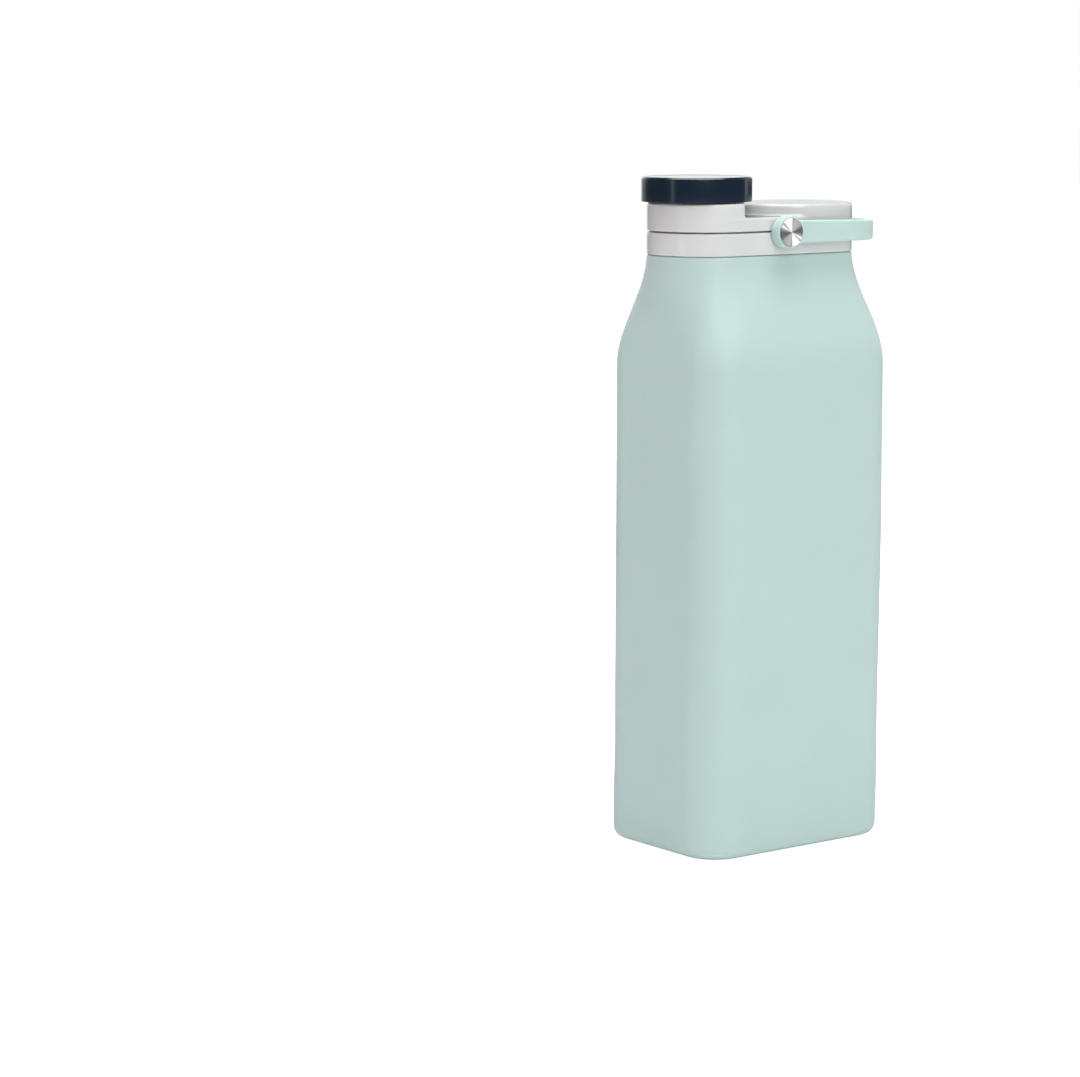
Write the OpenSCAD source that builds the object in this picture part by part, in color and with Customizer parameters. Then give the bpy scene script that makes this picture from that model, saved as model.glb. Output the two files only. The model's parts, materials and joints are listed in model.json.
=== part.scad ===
// Folding silicone water bottle with a milk-carton body, an oval rigid collar,
// a lift-off lid with a screw-capped spout, and a swinging carry strap.
// Millimetres, +Z up. The origin is at the centre of the base, on the table.
// +X runs along the collar's long side towards the raised dome; the spout is at -X.
// The front is at -Y.

/* [Body] */
// Width of the silicone body
body_w = 78; // [74:0.5:84]
// Depth of the silicone body
body_d = 57; // [50:0.5:62]
// Radius of the body's upright corners
corner_r = 12.7; // [9:0.1:16]
// Wall thickness of the silicone
wall = 2.4; // [1.8:0.1:3]
// Height at which the straight walls end and the shoulder begins
shoulder_z = 155.5; // [120:0.5:165]
// Radius along the base edge
foot_r = 3; // [2:0.5:5]
// Thickness of the silicone base
base_t = 4.2; // [3.5:0.1:6]

/* [Collar] */
// Height of the collar's underside above the table
collar_z = 191.2; // [188:0.1:194]
// Length of the collar
collar_l = 74; // [72:0.5:76]
// Depth of the collar between its two flat sides
collar_d = 36.6; // [35.6:0.1:38]
// Radius of the collar's rounded ends
end_r = 20; // [19.5:0.1:21]
// Height of the lower collar ring
ring_h = 7.1; // [6.8:0.1:7.6]
// Gap between the ring and the lid housing
seam = 0.4; // [0.3:0.05:0.5]

/* [Lid] */
// Height of the lid housing's side wall
housing_h = 4.6; // [4.4:0.1:5.5]
// Height of the dome above the deck
dome_h = 3.7; // [3:0.1:4.5]
// Radius of the spout pedestal
pedestal_r = 15.3; // [14.8:0.1:16]
// Height of the spout pedestal above the deck
pedestal_h = 4.5; // [4.3:0.1:4.6]
// Distance from the centre to the spout's axis
spout_x = 22.4; // [21.9:0.1:22.4]
// Size of the slope at the foot of the dome
deck_slope = 0.6; // [0.4:0.1:2]

/* [Spout and cap] */
// Root radius of the spout's thread
thread_root = 13.4; // [13:0.1:13.5]
// Rise of the thread in one turn
thread_lead = 4; // [3.6:0.1:4.2]
// Outer radius of the screw cap
cap_r = 17.6; // [17:0.1:17.8]
// Height of the screw cap
cap_h = 7.9; // [7.6:0.1:8.2]

/* [Strap] */
// Distance from the collar's centre to the strap's pivot, towards the spout
pivot_off = 2.2; // [1.6:0.1:2.6]
// Distance from the strap's pivot to the outside of its loop end
strap_reach = 47.6; // [46.8:0.1:50]
// Distance from the collar's flat side to the strap's outer face
strap_out = 4.1; // [3.8:0.1:5]
// Thickness of the strap band
strap_t = 2.4; // [2:0.1:2.5]
// Width of the strap beside its eyes
strap_w1 = 7.4; // [6:0.1:8]
// Width of the strap at its loop end
strap_w2 = 6.2; // [5:0.1:7]
// Outer radius of the strap's eyes
eye_r = 5.15; // [4.9:0.05:5.4]
// Radius of the metal buttons
button_r = 4.5; // [4.2:0.1:4.8]

/* [Hidden] */
$fn = 96;

mint = "#bcd8d2";
white = "#dedcda";
insert_white = "#e8e6e2";
core_white = "#ecebe7";
seal_white = "#f4f4f2";
bush_white = "#f0f0ee";
navy = "#1c2b3a";
steel = "#b9bcc0";
button_steel = "#d5d7d9";
brass = "#c9a35a";

// Clearances between neighbouring pieces, and overlaps within one piece
gap = 0.05;
fit = 0.1;
slip = 0.02;
overlap = 0.1;
hair = 0.01;
cut = 1;                                // how far a cutter runs past a face
across = 60;                            // depth of blocks that span the whole bottle in y

// Levels
ring_top = collar_z + ring_h;
lid_z = ring_top + seam;                // underside of the lid housing's wall
pivot_z = ring_top + seam / 2;          // the strap's axis lies on the seam
deck_z = lid_z + housing_h;
dome_z = deck_z + dome_h;
pedestal_z = deck_z + pedestal_h;
cap_z = pedestal_z + 0.3;               // lower edge of the cap
cap_top = cap_z + cap_h;
lip_z = cap_top - 2.5;                  // rim of the spout

end_x = collar_l / 2 - end_r;           // centres of the collar's end arcs
half_d = collar_d / 2;

// Names ending in _out and _in are insets from the collar outline to the outside
// and inside of a wall, except band_out, band_in and the strap's reach strap_out.
ring_w = 1.9;                           // wall of the collar ring
sleeve_out = ring_w + fit;              // silicone sleeve inside the ring
sleeve_in = 3.6;
sleeve_top = ring_top - 2;
bead_out = 1.2;                         // retaining bead at the sleeve's top
bead_h = 2;
insert_out = 3.9;
insert_in = 5.2;                        // the bottle's mouth

// Round bosses inside the flat sides, for the strap's studs
boss_r = 3.4;
boss_depth = 3.6;
boss_hole_r = 1.9;

// ---------- outlines ----------

// Collar outline: two round ends joined and cut flat along both sides.
module outline(inset = 0) {
    intersection() {
        union() {
            for (side = [-1, 1]) translate([side * end_x, 0]) circle(r = end_r - inset);
            square([2 * end_x, 2 * (end_r - inset)], center = true);
        }
        square([collar_l + 10, 2 * (half_d - inset)], center = true);
    }
}

module slab(z0, z1, inset = 0) {
    translate([0, 0, z0]) linear_extrude(z1 - z0) outline(inset);
}

// A wall between two insets of the outline.
module wall_ring(z0, z1, outer, inner) {
    translate([0, 0, z0]) linear_extrude(z1 - z0) difference() {
        outline(outer);
        outline(inner);
    }
}

// Distance from the centre to the collar outline in one direction.
function collar_radius(angle, inset) =
    let(cosine = abs(cos(angle)), sine = abs(sin(angle)),
        arc_r = end_r - inset,
        root = arc_r * arc_r - end_x * end_x * sine * sine,
        arc = root >= 0 ? end_x * cosine + sqrt(root) : 0,
        on_end = arc * cosine >= end_x,
        flat = sine > 1e-9 ? (half_d - inset) / sine : 1e6)
    on_end ? min(arc, flat) : flat;

// Distance from the centre to the body's rounded rectangle in one direction.
function rect_radius(angle, inset) =
    let(cosine = abs(cos(angle)), sine = abs(sin(angle)),
        half_x = body_w / 2 - inset, half_y = body_d / 2 - inset,
        round_r = max(corner_r - inset, 1.5),
        mid_x = half_x - round_r, mid_y = half_y - round_r)
    (half_x * sine <= mid_y * cosine) ? half_x / cosine
  : (half_y * cosine <= mid_x * sine) ? half_y / sine
  : let(along = mid_x * cosine + mid_y * sine)
    along + sqrt(along * along - mid_x * mid_x - mid_y * mid_y + round_r * round_r);

// Directions of the body's vertical grid lines, closer together round its corners.
quadrant = [0, 6, 12, 18, 22, 25.5, 29, 32.5, 36.1, 40, 44, 48.5, 55, 65, 78];
directions = [for (half = [0, 180]) each concat(
    [for (angle = quadrant) half + angle],
    [half + 90],
    [for (i = [len(quadrant) - 1:-1:1]) half + 180 - quadrant[i]])];

// Share of the rectangle in the body's section: 0 at the collar, 1 below the shoulder.
function rect_share(z) =
    let(drop = max(0, min(1, (collar_z - z) / (collar_z - shoulder_z))), t = pow(drop, 0.89))
    t * t * (3 - 2 * t);

function body_ring(z, share, inset) = [for (angle = directions)
    let(r = (1 - share) * collar_radius(angle, inset) + share * rect_radius(angle, inset))
    [r * cos(angle), r * sin(angle), z]];
function shoulder_ring(z, inset) = body_ring(z, rect_share(z), inset);

// Triangles between successive rings of points.
function side_faces(ring_count, size) = [for (i = [0:ring_count - 2]) for (j = [0:size - 1])
    let(k = (j + 1) % size, low = i * size, high = low + size)
    each [[low + j, high + j, low + k], [low + k, high + j, high + k]]];

// Closed surface through a list of equal rings, with flat ends.
module loft(rings) {
    size = len(rings[0]);
    count = len(rings);
    total = count * size;
    final = total - size;
    centres = [[0, 0, rings[0][0][2]], [0, 0, rings[count - 1][0][2]]];
    first_end = [for (j = [0:size - 1]) [total, j, (j + 1) % size]];
    last_end = [for (j = [0:size - 1]) [total + 1, final + (j + 1) % size, final + j]];
    polyhedron(points = concat([for (ring = rings) each ring], centres),
               faces = concat(first_end, side_faces(count, size), last_end), convexity = 8);
}

// ---------- silicone body ----------

outer_steps = 10;                       // steps up the shoulder
inner_steps = 7;
inner_top = collar_z - 5;               // full-width cavity starts below this
step_z = collar_z - 2.6;                // lower edge of the sleeve-wide neck
foot_angles = [32, 52, 72, 90];         // round the base edge, above the flat base
// Inner edge of the floor: [height above the floor, inset from the inner wall]
floor_edge = [[3.5, 0], [1, 1], [0, 3.5]];

// One surface: up the outside, over the sleeve and down the inside to the floor.
module bottle_body() {
    bead_z = sleeve_top - bead_h;
    outer_rise = collar_z - shoulder_z;
    inner_drop = inner_top - shoulder_z;
    rings = concat(
        [body_ring(0, 1, foot_r * (1 - sin(15)))],
        [for (t = foot_angles) body_ring(foot_r * (1 - cos(t)), 1, foot_r * (1 - sin(t)))],
        [for (i = [0:outer_steps]) shoulder_ring(shoulder_z + outer_rise * i / outer_steps, 0)],
        // sleeve inside the collar ring, with a retaining bead at its top
        [body_ring(collar_z, 0, sleeve_out),
         body_ring(bead_z, 0, sleeve_out),
         body_ring(bead_z, 0, bead_out),
         body_ring(sleeve_top, 0, bead_out),
         body_ring(sleeve_top, 0, sleeve_in),
         body_ring(collar_z, 0, sleeve_in),
         shoulder_ring(step_z, sleeve_in)],
        [for (i = [0:inner_steps]) shoulder_ring(inner_top - inner_drop * i / inner_steps, wall)],
        [for (edge = floor_edge) body_ring(base_t + edge[0], 1, wall + edge[1])]);
    color(mint) loft(rings);
}

// ---------- collar ----------

// Places a part on the strap's axis at the flat side y = side * half_d.
// The part's +Z points into the bottle.
module on_side(side) {
    translate([-pivot_off, side * half_d, pivot_z]) rotate([side * 90, 0, 0]) children();
}

module collar_ring() {
    color(white) difference() {
        union() {
            difference() {
                slab(collar_z + gap, ring_top);
                slab(collar_z - cut, ring_top + cut, ring_w);
                slab(sleeve_top - bead_h - fit, ring_top + cut, bead_out - fit);
            }
            // bosses that hold the strap's studs; they stand on the sleeve's bead
            for (side = [-1, 1]) {
                intersection() {
                    on_side(side) cylinder(r = boss_r, h = boss_depth);
                    translate([-10, -across / 2, sleeve_top + gap]) cube([20, across, 10]);
                }
            }
        }
        for (side = [-1, 1]) on_side(side) translate([0, 0, -cut])
            cylinder(r = boss_hole_r, h = 8);
    }
}

// Cutters, centred at height z, that leave room for the bosses.
module boss_pockets(z, height, depth_room) {
    for (side = [-1, 1]) translate([-pivot_off, side * half_d, z])
        cube([2 * boss_r + 0.8, 2 * boss_depth + depth_room, height], center = true);
}

insert_drop = 3.5;                      // below the collar's underside
flange_t = 1.5;
flange_out = 1.2;

module neck_insert() {
    color(insert_white) difference() {
        union() {
            wall_ring(collar_z - insert_drop, ring_top, insert_out, insert_in);
            wall_ring(ring_top - flange_t, ring_top, flange_out, insert_in);
        }
        boss_pockets(ring_top, 4, 0.3);
    }
}

// ---------- lid housing ----------

// The dome's circle is a little wider than the collar's end, so that the dome's
// outer side is the collar's own outline.
dome_r = end_r + 0.5;
dome_x = end_x + 0.1;
deck_t = 1.8;                           // thickness of the deck and of the dome's roof
dome_hollow_drop = 3;                   // the hollow starts this far below the deck's top

// Round towards the dome; elsewhere its wall is the housing's own side, up to two
// rounded corners.
pedestal_corner_x = -19.8;
pedestal_corner_r = 2.5;
pedestal_half_d = half_d + 1;           // past the flat sides, which trim it

module pedestal_plan() {
    hull() {
        translate([-spout_x, 0]) circle(r = pedestal_r);
        for (side = [-1, 1])
            translate([pedestal_corner_x, side * (pedestal_half_d - pedestal_corner_r)])
                circle(r = pedestal_corner_r);
        translate([-spout_x - 30, -pedestal_half_d]) square([25, 2 * pedestal_half_d]);
    }
}

module housing_outside() {
    intersection() {
        union() {
            translate([-50, -across / 2, lid_z]) cube([100, across, housing_h]);
            translate([dome_x, 0, lid_z]) cylinder(r = dome_r, h = dome_z - lid_z);
            translate([dome_x, 0, deck_z])
                cylinder(r1 = dome_r + deck_slope, r2 = dome_r, h = deck_slope);
            translate([0, 0, lid_z]) linear_extrude(pedestal_z - lid_z) pedestal_plan();
        }
        slab(lid_z, dome_z + 5);
    }
}

module lid_housing() {
    color(white) difference() {
        housing_outside();
        slab(lid_z - cut, deck_z - deck_t, 2);
        intersection() {
            translate([dome_x, 0, deck_z - dome_hollow_drop])
                cylinder(r = dome_r - 2.1, h = dome_h + dome_hollow_drop - deck_t);
            slab(lid_z, dome_z, 2.3);
        }
        translate([-spout_x, 0, lid_z - cut]) cylinder(r = thread_root + 0.15, h = 20);
        // round notches that drop over the strap bosses
        for (side = [-1, 1]) on_side(side) translate([0, 0, -cut])
            cylinder(r = boss_r + 0.2, h = boss_depth + 0.3 + cut);
    }
}

// ---------- screw thread ----------

rib_span = 150;                         // degrees
rib_steps = ceil(rib_span / 6);
rib_taper_steps = 4;
rib_root_half = 0.62;                   // half height of a rib at its root
rib_crest_half = 0.32;
rib_z = cap_z + 1.9;                    // mid-height of the spout's ribs at their lowest end

// Section i of a helical rib, shallower near both ends.
function rib_section(i, start, z0, root_r, crest_r) =
    let(turn = rib_span * i / rib_steps,
        angle = start + turn,
        z = z0 + thread_lead * turn / 360,
        fullness = min(1, min(i, rib_steps - i) / rib_taper_steps + 0.02),
        tip_r = root_r + (crest_r - root_r) * fullness)
    [for (p = [[root_r, -rib_root_half], [root_r, rib_root_half],
               [tip_r, rib_crest_half], [tip_r, -rib_crest_half]])
        [p[0] * cos(angle), p[0] * sin(angle), z + p[1]]];

function reversed(list) = [for (i = [len(list) - 1:-1:0]) list[i]];

// A rib whose crest points inwards needs its faces turned over.
module rib(start, z0, root_r, crest_r) {
    points = [for (i = [0:rib_steps]) each rib_section(i, start, z0, root_r, crest_r)];
    last = rib_steps * 4;
    faces = concat([[0, 1, 2, 3]], side_faces(rib_steps + 1, 4),
                   [[last + 3, last + 2, last + 1, last]]);
    polyhedron(points = points,
               faces = crest_r < root_r ? [for (face = faces) reversed(face)] : faces,
               convexity = 6);
}

// ---------- lid core ----------

plate_t = 2;
plug_out = insert_in + 0.15;            // plug that enters the neck insert
plug_in = 6.95;
groove_in = 6.05;                       // bottom of the gasket groove round the plug
groove_z0 = collar_z + 1.8;
groove_z1 = collar_z + 4;
bore_r = 7.6;
lip_r = 11.2;                           // inside of the spout at its rim
funnel_z = ring_top + 2.4;
funnel_h = 6;

module lid_core() {
    color(core_white) difference() {
        union() {
            slab(ring_top + gap, ring_top + plate_t, 2.15);
            wall_ring(ring_top + plate_t - overlap, deck_z - deck_t, 2.6, 3.6);
            difference() {
                wall_ring(collar_z - 0.7, ring_top + overlap, plug_out, plug_in);
                wall_ring(groove_z0, groove_z1, plug_out - cut, groove_in);
            }
            translate([-spout_x, 0, ring_top + 1])
                cylinder(r = thread_root, h = lip_z - ring_top - 1);
            for (start = [0, 180]) translate([-spout_x, 0, 0])
                rib(start, rib_z, root_r = thread_root - 0.3, crest_r = thread_root + 0.9);
        }
        // passage: straight through the plate, then a funnel up to the rim
        translate([-spout_x, 0, ring_top - cut]) cylinder(r = bore_r, h = 4);
        translate([-spout_x, 0, funnel_z]) cylinder(r1 = bore_r, r2 = lip_r, h = funnel_h);
        translate([-spout_x, 0, funnel_z + funnel_h - overlap]) cylinder(r = lip_r, h = 20);
        boss_pockets(ring_top + 2, 8, 0.6);
    }
}

module lid_gasket() {
    color(seal_white)
        wall_ring(groove_z0 + gap, groove_z1 - gap, insert_in + gap, groove_in - slip);
}

// ---------- screw cap ----------

cap_inner_r = 14.75;
cap_chamfer = 0.7;
cap_t = 1.4;                            // thickness of the cap's top
cap_ceiling = cap_top - cap_t;
guide_r = 10.1;                         // ring that centres the seal and enters the spout
guide_t = 1;
guide_z = lip_z - 1;
guide_sink = 0.5;                       // into the cap's top
cap_rib_lag = 20;                       // degrees from a spout rib's start to a cap rib's

module spout_cap() {
    // the cap's ribs run a quarter of the lead below the spout's
    cap_rib_z = rib_z - thread_lead / 4 + thread_lead * cap_rib_lag / 360;
    color(navy) translate([-spout_x, 0, 0]) {
        difference() {
            union() {
                translate([0, 0, cap_z]) cylinder(r = cap_r, h = cap_h - cap_chamfer);
                translate([0, 0, cap_top - cap_chamfer])
                    cylinder(r1 = cap_r, r2 = cap_r - cap_chamfer, h = cap_chamfer);
            }
            translate([0, 0, cap_z - cut]) cylinder(r = cap_inner_r, h = cap_h + cut - cap_t);
        }
        difference() {
            translate([0, 0, guide_z])
                cylinder(r = guide_r, h = cap_ceiling + guide_sink - guide_z);
            translate([0, 0, guide_z - cut])
                cylinder(r = guide_r - guide_t, h = cap_ceiling - guide_z + cut);
        }
        for (start = [0, 180])
            rib(start + cap_rib_lag, cap_rib_z,
                root_r = cap_inner_r + 0.3, crest_r = thread_root + 0.35);
    }
}

module cap_seal() {
    color(seal_white) translate([-spout_x, 0, lip_z + gap]) difference() {
        cylinder(r = cap_inner_r - 0.35, h = 1);
        translate([0, 0, -cut]) cylinder(r = guide_r + fit, h = 3);
    }
}

// ---------- strap and its pivots ----------

band_out = half_d + strap_out;          // outer face of the band's straight legs
band_in = band_out - strap_t;
bend_x = strap_reach - band_out;        // centre of the loop end, from the pivot
eye_gap = 0.4;                          // between the eyes and the collar's flat sides

bush_r = 3;
bush_flange_r = 4.2;
bush_flange_t = 0.4;
stud_r = 2;                             // shoulder the strap turns on
spigot_r = 1.5;                         // under the button
spigot_h = 0.5;
stud_insert_bore_r = 1.1;

button_edge = 0.6;                      // strap's outer face to the button's bevel
bevel_h = 0.2;
bevel_w = 0.25;
button_face = button_edge + bevel_h;

module strap_plan() {
    difference() {
        union() {
            translate([bend_x, 0]) circle(r = band_out);
            translate([0, -band_out]) square([bend_x, 2 * band_out]);
        }
        translate([bend_x, 0]) circle(r = band_in);
        translate([-cut, -band_in]) square([bend_x + cut, 2 * band_in]);
    }
}

// Seen from the side, the band narrows from the eyes to the loop end.
module strap_side() {
    tip_x = strap_reach + 1;
    polygon([[0, -strap_w1 / 2], [tip_x, -strap_w2 / 2], [tip_x, strap_w2 / 2], [0, strap_w1 / 2]]);
}

module carry_strap() {
    color(mint) difference() {
        union() {
            translate([-pivot_off, 0, 0]) intersection() {
                translate([0, 0, pivot_z - 10]) linear_extrude(20) strap_plan();
                translate([0, across / 2, pivot_z]) rotate([90, 0, 0])
                    linear_extrude(across) strap_side();
            }
            for (side = [-1, 1]) on_side(side) translate([0, 0, -strap_out])
                cylinder(r = eye_r, h = strap_out - eye_gap);
        }
        // seats for the bushes
        for (side = [-1, 1]) on_side(side) {
            translate([0, 0, -8]) cylinder(r = bush_r + slip, h = 14);
            translate([0, 0, -fit - bush_flange_t - slip])
                cylinder(r = bush_flange_r + slip, h = 3);
        }
    }
}

module strap_bush(side) {
    color(bush_white) on_side(side) difference() {
        union() {
            translate([0, 0, gap - strap_out]) cylinder(r = bush_r, h = strap_out - gap - fit);
            translate([0, 0, -fit - bush_flange_t])
                cylinder(r = bush_flange_r, h = bush_flange_t);
        }
        translate([0, 0, -8]) cylinder(r = stud_r + gap, h = 10);
    }
}

module pivot_stud(side) {
    color(steel) on_side(side) {
        // pin in the stud insert, shoulder, and spigot under the button
        cylinder(r = stud_insert_bore_r - slip, h = 3.3);
        translate([0, 0, -strap_out - gap]) cylinder(r = stud_r, h = strap_out + gap);
        translate([0, 0, -strap_out - spigot_h]) cylinder(r = spigot_r, h = spigot_h + overlap);
    }
}

// Disc with a bevelled rim and a shallow conical hollow in its face.
module button(side) {
    color(button_steel) on_side(side) difference() {
        union() {
            translate([0, 0, -strap_out - button_edge])
                cylinder(r = button_r, h = button_edge - 0.06);
            translate([0, 0, -strap_out - button_face])
                cylinder(r1 = button_r - bevel_w, r2 = button_r, h = bevel_h + hair);
        }
        translate([0, 0, -strap_out - spigot_h - hair]) cylinder(r = spigot_r + slip, h = 2);
        translate([0, 0, -strap_out - button_face - 0.05])
            cylinder(r1 = button_r - 0.4, r2 = 0.2, h = 0.2);
    }
}

module stud_inserts() {
    color(brass) for (side = [-1, 1]) on_side(side) difference() {
        translate([0, 0, fit]) cylinder(r = boss_hole_r - slip, h = 3.4);
        translate([0, 0, -cut]) cylinder(r = stud_insert_bore_r, h = 6);
    }
}

bottle_body();
collar_ring();
neck_insert();
lid_housing();
lid_core();
lid_gasket();
spout_cap();
cap_seal();
carry_strap();
strap_bush(-1);  // strap_bush_front
strap_bush(1);  // strap_bush_rear
pivot_stud(-1);  // pivot_stud_front
pivot_stud(1);  // pivot_stud_rear
button(-1);  // button_front
button(1);  // button_rear
stud_inserts();
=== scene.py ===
"""A flat silicone bottle with a white collar and lid, a navy screw cap and a carry strap.

It stands on z = 0 with its wide faces to the front (-Y) and rear (+Y). The screw cap sits
towards -X, the lid's dome towards +X, and the strap hangs on a pivot parallel to Y.
Pieces are drawn in millimetres and made in metres. The stage and lights are in metres.
"""
import json
import math
from itertools import product

import bmesh
import bpy
import numpy as np
from mathutils import Matrix, Vector

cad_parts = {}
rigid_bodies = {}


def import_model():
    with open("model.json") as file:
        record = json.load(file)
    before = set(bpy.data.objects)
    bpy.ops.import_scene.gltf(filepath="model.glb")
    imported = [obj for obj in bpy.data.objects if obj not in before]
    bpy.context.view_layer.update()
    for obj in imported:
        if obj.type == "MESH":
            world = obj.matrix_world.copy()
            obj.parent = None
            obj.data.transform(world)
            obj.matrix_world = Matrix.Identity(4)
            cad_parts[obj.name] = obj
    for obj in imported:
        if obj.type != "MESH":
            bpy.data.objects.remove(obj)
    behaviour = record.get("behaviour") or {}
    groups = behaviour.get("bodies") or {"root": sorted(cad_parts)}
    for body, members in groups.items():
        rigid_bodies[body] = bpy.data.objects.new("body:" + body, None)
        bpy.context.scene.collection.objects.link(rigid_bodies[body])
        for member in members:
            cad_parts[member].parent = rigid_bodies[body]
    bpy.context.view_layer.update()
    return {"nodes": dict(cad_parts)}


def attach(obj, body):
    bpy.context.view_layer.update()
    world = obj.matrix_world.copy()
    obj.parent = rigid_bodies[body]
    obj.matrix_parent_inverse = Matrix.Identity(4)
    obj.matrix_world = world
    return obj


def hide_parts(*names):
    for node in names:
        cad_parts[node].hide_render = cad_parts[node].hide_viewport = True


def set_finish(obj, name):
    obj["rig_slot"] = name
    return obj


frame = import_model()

MM = 0.001
SCENE = bpy.context.scene

# ------------------------------------------------------------------ dimensions, mm
# collar outline: two round ends and a flat front and back
END_X, END_R, HALF_DEPTH = 17.0, 20.0, 18.3
COLLAR_Z, RING_TOP = 191.2, 198.45            # collar's foot and top
LID_Z, DECK_Z, DOME_Z, PEDESTAL_Z = 198.9, 203.3, 207.0, 207.8
DOME_X = 17.1
PIVOT_X, PIVOT_Z = -2.2, 198.5
SPOUT_X = -22.4                               # axis of the spout and its cap
CAP_Z, CAP_TOP, CAP_R = 208.1, 216.0, 17.6
WIDTH, DEPTH, CORNER_R = 78.0, 57.0, 12.7     # plan of the body below its shoulder
SHOULDER_Z = 155.5
WALL = 2.4
STRAP_OUT, STRAP_T, STRAP_END = 22.4, 2.4, 45.4    # half span, thickness, far end in x
STRAP_BEND_X = STRAP_END - STRAP_OUT
BUTTON_R = 4.5
BUTTON_FACE_Y = HALF_DEPTH + 4.9


# ------------------------------------------------------------------ mesh helpers
def new_piece(name, verts, faces, body, material, slot, replaced,
              normals=None, sharp=None, origin=(0, 0, 0)):
    """A smooth-shaded piece from millimetre vertices, riding on a body."""
    origin = np.asarray(origin, float) * MM
    mesh = bpy.data.meshes.new(name)
    points = np.asarray(verts, float) * MM - origin
    mesh.from_pydata(points.tolist(), [], [list(map(int, face)) for face in faces])
    mesh.validate(clean_customdata=False)
    mesh.update()
    for polygon in mesh.polygons:
        polygon.use_smooth = True
    if sharp is not None:
        mesh.set_sharp_from_angle(angle=math.radians(sharp))
    if normals is not None:
        mesh.normals_split_custom_set_from_vertices([tuple(n) for n in normals])
    mesh.materials.append(material)
    obj = bpy.data.objects.new(name, mesh)
    SCENE.collection.objects.link(obj)
    obj.location = Vector(origin)
    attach(obj, body)
    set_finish(obj, slot)
    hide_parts(replaced)


def loft(rings, close_ends=True):
    """Quads through equal closed rings of points. The ends close on a centre point."""
    count = len(rings[0])
    verts = [point for ring in rings for point in ring]
    faces = []
    for i in range(len(rings) - 1):
        low, high = i * count, (i + 1) * count
        for j in range(count):
            k = (j + 1) % count
            faces.append((low + j, low + k, high + k, high + j))
    if close_ends:
        for row, flip in ((0, True), (len(rings) - 1, False)):
            centre = len(verts)
            verts.append(tuple(np.mean(np.asarray(rings[row]), axis=0)))
            for j in range(count):
                a, b = row * count + j, row * count + (j + 1) % count
                faces.append((b, a, centre) if flip else (a, b, centre))
    return np.asarray(verts, float), faces


def revolve(profile, segments, centre_x=0):
    """(radius, z) pairs turned about a vertical axis. Points with radius 0 become poles."""
    verts, index = [], []
    for radius, z in profile:
        if radius < 1e-6:
            index.append([len(verts)] * segments)
            verts.append((centre_x, 0, z))
            continue
        index.append(list(range(len(verts), len(verts) + segments)))
        for j in range(segments):
            a = 2 * math.pi * j / segments
            verts.append((centre_x + radius * math.cos(a), radius * math.sin(a), z))
    faces = []
    for p, q in zip(index, index[1:]):
        for j in range(segments):
            k = (j + 1) % segments
            # dict.fromkeys drops the repeated index at a pole
            faces.append(tuple(dict.fromkeys((p[j], p[k], q[k], q[j]))))
    return np.asarray(verts, float), faces


def round_profile(points, steps):
    """Closed outline of (x, y) or (x, y, radius) points, its corners rounded with arcs."""
    out = []
    for i, point in enumerate(points):
        corner = np.array(point[:2], float)
        radius = point[2] if len(point) > 2 else 0
        u = np.array(points[i - 1][:2], float) - corner
        v = np.array(points[(i + 1) % len(points)][:2], float) - corner
        u_len, v_len = np.linalg.norm(u), np.linalg.norm(v)
        if radius <= 0 or abs(u @ v) > 0.999 * u_len * v_len:
            out.append(tuple(corner))
            continue
        u, v = u / u_len, v / v_len
        half = math.acos(float(u @ v)) / 2
        # the arc takes up less than half of either side
        setback = min(radius / math.tan(half), u_len * 0.49, v_len * 0.49)
        radius = setback * math.tan(half)
        centre = corner + (u + v) / np.linalg.norm(u + v) * (radius / math.sin(half))
        start = math.atan2(*(corner + u * setback - centre)[::-1])
        end = math.atan2(*(corner + v * setback - centre)[::-1])
        turn = (end - start + math.pi) % (2 * math.pi) - math.pi
        for k in range(steps + 1):
            a = start + turn * k / steps
            out.append((centre[0] + radius * math.cos(a), centre[1] + radius * math.sin(a)))
    return out


def join_shells(shells):
    verts, faces, base = [], [], 0
    for shell_verts, shell_faces in shells:
        verts.append(shell_verts)
        faces += [tuple(base + i for i in face) for face in shell_faces]
        base += len(shell_verts)
    return np.concatenate(verts), faces


# ------------------------------------------------------------------ implicit surfaces
# A field is negative inside the shape. Cutting takes the maximum, joining the minimum.
def smooth_max(a, b, blend):
    h = np.maximum(blend - np.abs(a - b), 0) / blend
    return np.maximum(a, b) + h * h * blend * 0.25


def smooth_min(a, b, blend):
    return -smooth_max(-a, -b, blend)


def rounded_both(a, b, radius):
    """Where both fields are negative, with the edge between them rounded."""
    a, b = a + radius, b + radius
    return np.minimum(np.maximum(a, b), 0) + np.hypot(np.maximum(a, 0), np.maximum(b, 0)) - radius


def gradient(field, points, reach=0.01):
    slopes = np.empty_like(points)
    for i in range(3):
        ahead, behind = points.copy(), points.copy()
        ahead[:, i] += reach
        behind[:, i] -= reach
        slopes[:, i] = (field(*ahead.T) - field(*behind.T)) / (2 * reach)
    return slopes


def unit_gradient(field, points):
    slopes = gradient(field, points)
    return slopes / np.maximum(np.linalg.norm(slopes, axis=1, keepdims=True), 1e-6)


def settle(field, points, cell, times):
    """Steps the points onto field = 0, by half a cell at most each time."""
    for _ in range(times):
        slopes = gradient(field, points)
        steep = np.maximum((slopes * slopes).sum(1), 1e-3)
        move = field(*points.T)[:, None] * slopes / steep[:, None]
        length = np.linalg.norm(move, axis=1, keepdims=True)
        points = points - move * np.minimum(1, 0.5 * cell / np.maximum(length, 1e-9))
    return points


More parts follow.
